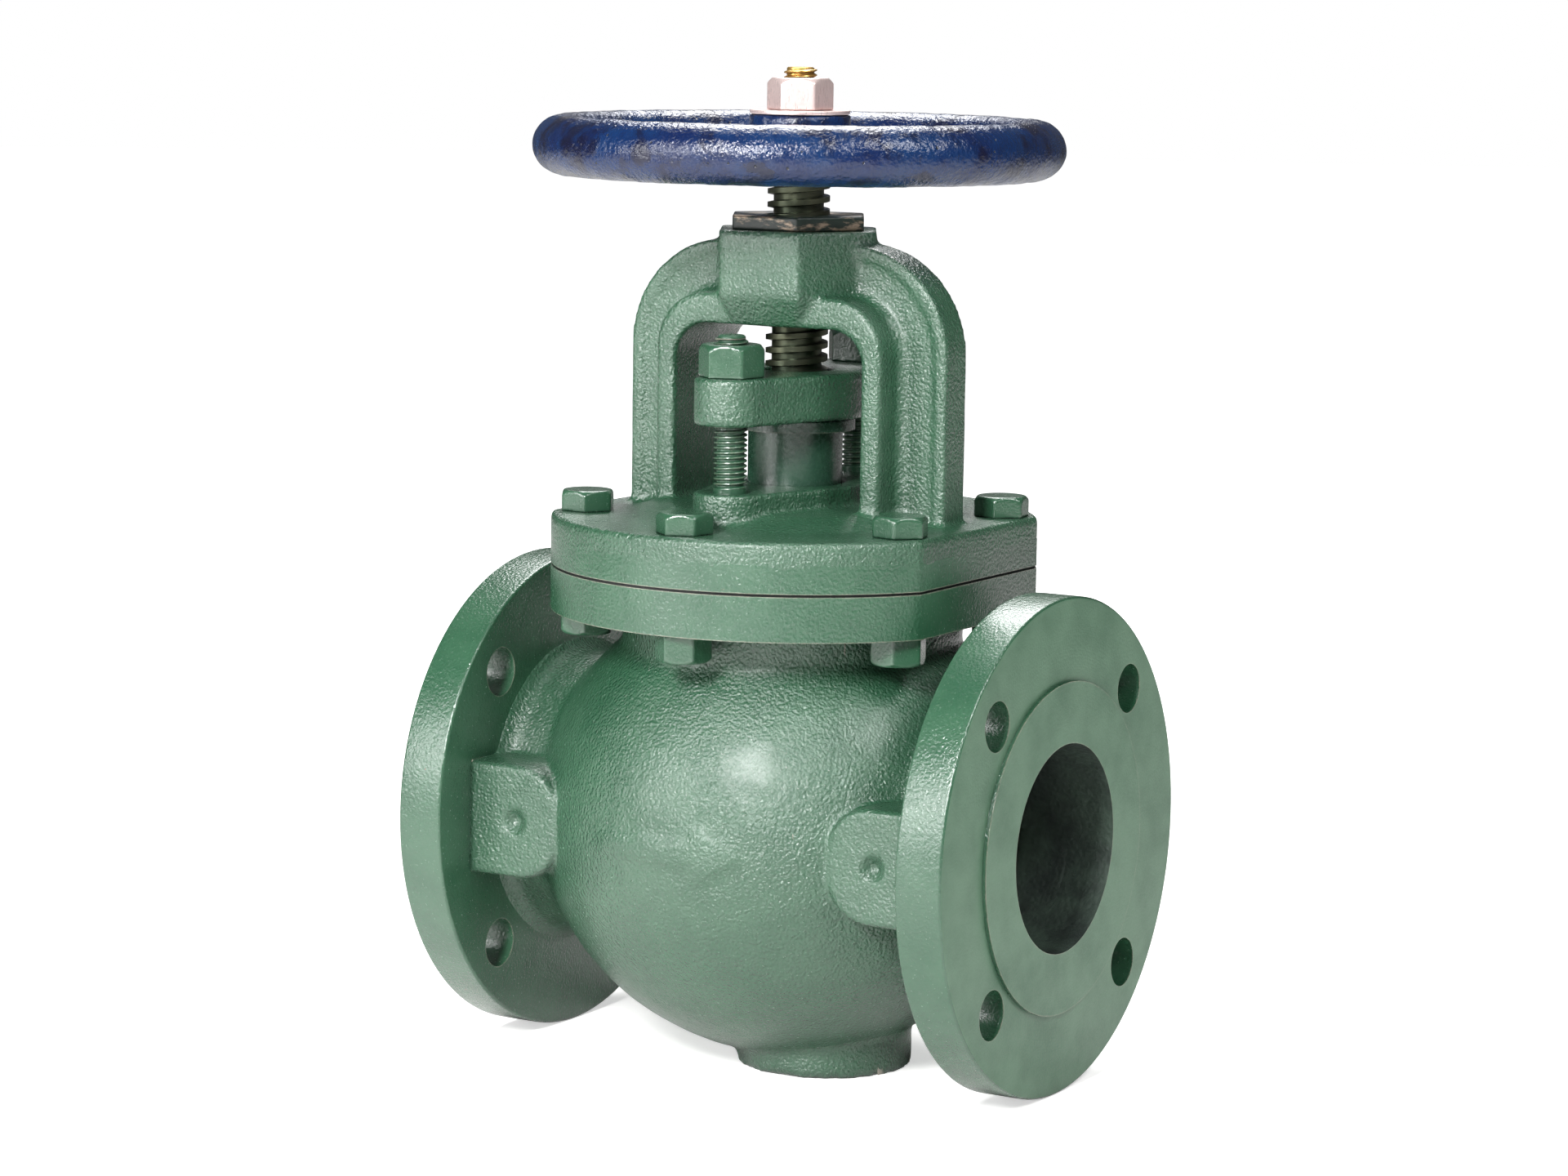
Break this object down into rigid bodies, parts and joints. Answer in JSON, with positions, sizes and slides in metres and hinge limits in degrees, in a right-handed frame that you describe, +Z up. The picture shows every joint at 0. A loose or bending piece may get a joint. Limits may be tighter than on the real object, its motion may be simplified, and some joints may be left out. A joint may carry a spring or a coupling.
{
  "type": "globe valve",
  "caption": "Flanged globe valve with a bolted bonnet, open yoke, two-stud packing gland, rising stem and round handwheel.",
  "frame": {"origin": "centre of the plane that the two end flanges and the foot boss stand on, below the stem axis", "axes": "+X along the pipe run from inlet to outlet, +Z up along the stem, +Y across, away from the front gland stud"},
  "size_m": [0.2414, 0.204, 0.385],
  "materials": {
    "green_cast": "semi-gloss green enamel over rough sand-cast iron",
    "green_hardware": "semi-gloss green enamel over steel fasteners",
    "blue_enamel": "thick glossy blue enamel over cast iron",
    "bright_steel": "bright zinc-plated steel",
    "bronze": "machined bronze",
    "stem_brass": "dark oiled bronze with a bright brass end",
    "gasket": "black compressed fibre sheet",
    "packing": "braided graphite"
  },
  "bodies": {
    "valve": {"body": "green_cast", "seat_ring": "bronze", "bonnet_gasket": "gasket", "bonnet": "green_cast", "bonnet_bolts": "green_hardware", "bonnet_nuts": "green_hardware", "backseat_bushing": "bronze", "packing_ring_1": "packing", "packing_ring_2": "packing", "packing_ring_3": "packing", "packing_ring_4": "packing", "packing_ring_5": "packing", "gland_stud_front": "green_hardware", "gland_stud_rear": "green_hardware", "yoke_bushing": "bronze", "bushing_set_screw": "green_hardware"},
    "disc_group": {"disc": "bronze", "disc_nut": "bronze"},
    "stem_group": {"stem": "stem_brass", "handwheel": "blue_enamel", "wheel_washer": "bright_steel", "wheel_nut": "bright_steel"},
    "gland": {"gland_flange": "green_cast", "gland_sleeve": "green_cast"},
    "front_gland_nut": {"gland_nut_front": "green_hardware"},
    "rear_gland_nut": {"gland_nut_rear": "green_hardware"}
  },
  "joints": [
    {"name": "stem_lift", "type": "slide", "parent": "valve", "child": "disc_group", "axis": [0, 0, 1], "range_m": [0, 0.022]},
    {"name": "handwheel_turn", "type": "hinge", "parent": "disc_group", "child": "stem_group", "pos_m": [0, 0, 0.35], "axis": [0, 0, 1], "range_deg": [0, 1555]},
    {"name": "gland_take_up", "type": "slide", "parent": "valve", "child": "gland", "axis": [0, 0, -1], "range_m": [0, 0.0058], "deforming": ["packing_ring_1", "packing_ring_2", "packing_ring_3", "packing_ring_4", "packing_ring_5"]},
    {"name": "gland_nut_front_turn", "type": "hinge", "parent": "gland", "child": "front_gland_nut", "pos_m": [0, -0.048, 0.276], "axis": [0, 0, 1], "range_deg": [-1080, 0.5]},
    {"name": "gland_nut_rear_turn", "type": "hinge", "parent": "gland", "child": "rear_gland_nut", "pos_m": [0, 0.048, 0.276], "axis": [0, 0, 1], "range_deg": [-1080, 0.5]}
  ],
  "couplings": [
    {"joint": "stem_lift", "follows": "handwheel_turn", "m_per_rad": 0.00080851},
    {"joint": "gland_nut_front_turn", "follows": "gland_take_up", "rad_per_m": -3215.6},
    {"joint": "gland_nut_rear_turn", "follows": "gland_take_up", "rad_per_m": -3215.6}
  ]
}
